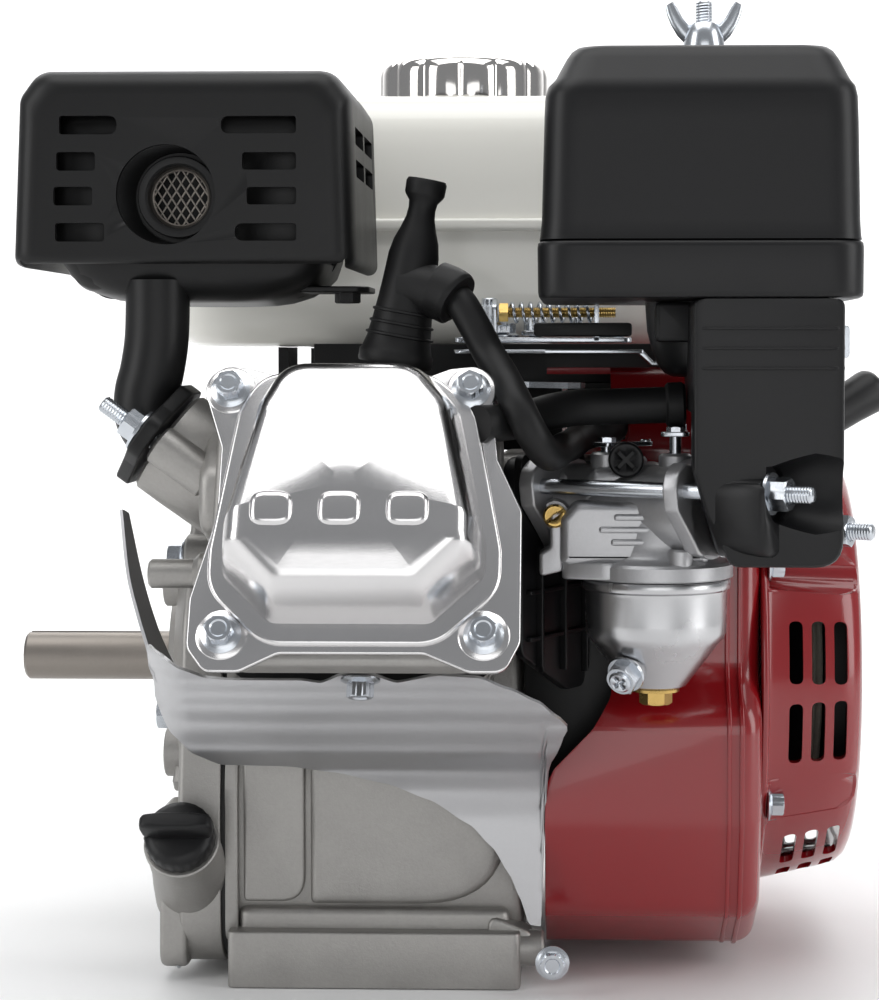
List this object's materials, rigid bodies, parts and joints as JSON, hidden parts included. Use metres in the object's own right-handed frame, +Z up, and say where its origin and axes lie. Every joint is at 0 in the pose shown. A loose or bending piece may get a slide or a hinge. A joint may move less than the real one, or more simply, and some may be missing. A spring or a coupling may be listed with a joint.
{
  "type": "small gasoline engine",
  "caption": "Small air-cooled four-stroke gasoline engine with an inclined cylinder, horizontal drive shaft, recoil starter, muffler, air cleaner and fuel tank.",
  "frame": {"origin": "middle of the base's mounting face, under the crankshaft", "axes": "+X along the crankshaft towards the recoil starter, -Y the cylinder side, +Z up"},
  "size_m": [0.3293, 0.359, 0.347],
  "materials": {
    "cast_aluminium": "as cast, matt",
    "bright_aluminium": "satin, bright",
    "bright_sheet": "plated sheet, satin",
    "zinc_plated": "bright zinc plate",
    "machined_steel": "machined, oiled",
    "yellow_brass": "turned brass",
    "heat_black": "heat-proof black, satin",
    "red_enamel": "gloss enamel",
    "ivory_enamel": "gloss enamel",
    "bright_chrome": "polished",
    "black_plastic": "moulded, satin",
    "black_rubber": "moulded rubber",
    "filter_foam": "oiled foam and paper"
  },
  "bodies": {
    "engine_block": {"crankcase": "cast_aluminium", "crankcase_cover": "cast_aluminium", "cylinder_head": "cast_aluminium", "carburettor_body": "cast_aluminium", "valve_cover": "bright_aluminium", "float_bowl": "bright_aluminium", "cylinder_baffle": "bright_sheet", "valve_cover_bolt_1": "zinc_plated", "valve_cover_bolt_2": "zinc_plated", "valve_cover_bolt_3": "zinc_plated", "valve_cover_bolt_4": "zinc_plated", "baffle_bolt": "zinc_plated", "cover_bolt": "zinc_plated", "exhaust_stud_front": "zinc_plated", "exhaust_stud_rear": "zinc_plated", "carb_stud_front": "zinc_plated", "carb_stud_rear": "zinc_plated", "air_cleaner_stud": "zinc_plated", "control_bracket": "zinc_plated", "spark_arrestor": "zinc_plated", "spark_plug": "zinc_plated", "main_bearing": "machined_steel", "bowl_bolt": "yellow_brass", "speed_screw": "yellow_brass", "muffler_body": "heat_black", "muffler_shield": "heat_black", "head_gasket": "heat_black", "tank_bracket": "heat_black", "fan_cover": "red_enamel", "recoil_cover": "red_enamel", "fuel_tank_upper": "ivory_enamel", "fuel_tank_lower": "ivory_enamel", "air_cleaner_elbow": "black_plastic", "air_cleaner_case": "black_plastic", "air_cleaner_cover": "black_plastic", "carb_insulator": "black_plastic", "throttle_stop_screw": "black_plastic", "spark_plug_cap": "black_rubber", "spark_lead": "black_rubber", "breather_tube": "black_rubber", "ignition_coil": "black_rubber", "filter_element": "filter_foam"},
    "crank": {"crankshaft_drive_half": "machined_steel", "crankshaft_fan_half": "machined_steel", "flywheel": "cast_aluminium", "starter_cup": "zinc_plated"},
    "cam": {"camshaft": "machined_steel"},
    "piston": {"piston": "bright_aluminium", "connecting_rod": "cast_aluminium"},
    "pulley": {"starter_pulley": "black_plastic"},
    "starter_handle": {"starter_handle": "black_plastic"},
    "throttle": {"throttle_lever": "zinc_plated"},
    "governor": {"governor_arm": "zinc_plated"},
    "choke": {"choke_lever": "zinc_plated"},
    "fuel_valve": {"fuel_valve_lever": "black_plastic"},
    "speed_lever": {"control_lever": "zinc_plated"},
    "fuel_cap": {"fuel_cap": "bright_chrome"},
    "oil_cap": {"oil_filler_cap": "black_plastic"},
    "wing_nut": {"wing_nut": "zinc_plated"},
    "switch": {"engine_switch": "black_plastic"}
  },
  "joints": [
    {"name": "crank_turn", "type": "hinge", "parent": "engine_block", "child": "crank", "pos_m": [0, 0, 0.106], "axis": [1, 0, 0], "continuous": true},
    {"name": "cam_turn", "type": "hinge", "parent": "engine_block", "child": "cam", "pos_m": [0, -0.045, 0.0807], "axis": [1, 0, 0], "continuous": true},
    {"name": "piston_stroke", "type": "slide", "parent": "engine_block", "child": "piston", "axis": [0, -0.9063, 0.4226], "range_m": [-0.045, 0]},
    {"name": "starter_pull", "type": "slide", "parent": "engine_block", "child": "starter_handle", "axis": [0.8, 0, 0.6], "range_m": [0, 0.6], "stiffness_N_per_m": 25, "springref_m": -0.15},
    {"name": "pulley_turn", "type": "hinge", "parent": "engine_block", "child": "pulley", "pos_m": [0, 0, 0.106], "axis": [1, 0, 0], "range_deg": [-10, 740]},
    {"name": "throttle_turn", "type": "hinge", "parent": "engine_block", "child": "throttle", "pos_m": [0.0819, -0.11182, 0.173], "axis": [0, 0, 1], "range_deg": [-60, 0]},
    {"name": "governor_swing", "type": "hinge", "parent": "engine_block", "child": "governor", "pos_m": [0.04, -0.02, 0], "axis": [0, 0, 1], "range_deg": [0, 12]},
    {"name": "choke_turn", "type": "hinge", "parent": "engine_block", "child": "choke", "pos_m": [0.10485, -0.12403, 0.173], "axis": [0, 0, 1], "range_deg": [0, 50]},
    {"name": "fuel_valve_turn", "type": "hinge", "parent": "engine_block", "child": "fuel_valve", "pos_m": [0.10665, -0.09508, 0.163], "axis": [0.4695, 0.8829, 0], "range_deg": [0, 90]},
    {"name": "speed_lever_turn", "type": "hinge", "parent": "engine_block", "child": "speed_lever", "pos_m": [0.056, -0.03, 0], "axis": [0, 0, 1], "range_deg": [0, 35]},
    {"name": "fuel_cap_lift", "type": "slide", "parent": "engine_block", "child": "fuel_cap", "axis": [0, 0, 1], "range_m": [0, 0.03]},
    {"name": "oil_cap_draw", "type": "slide", "parent": "engine_block", "child": "oil_cap", "axis": [0, -0.7915, 0.6112], "range_m": [0, 0.06]},
    {"name": "wing_nut_turn", "type": "hinge", "parent": "engine_block", "child": "wing_nut", "pos_m": [0.115, -0.108, 0.33], "axis": [0, 0, 1], "continuous": true},
    {"name": "switch_turn", "type": "hinge", "parent": "engine_block", "child": "switch", "pos_m": [0.14, -0.04, 0.203], "axis": [1, 0, 0], "range_deg": [0, 45]}
  ],
  "couplings": [
    {"joint": "cam_turn", "follows": "crank_turn", "ratio": -0.5},
    {"joint": "pulley_turn", "follows": "starter_pull", "rad_per_m": 21},
    {"joint": "throttle_turn", "follows": "governor_swing", "ratio": -5}
  ]
}
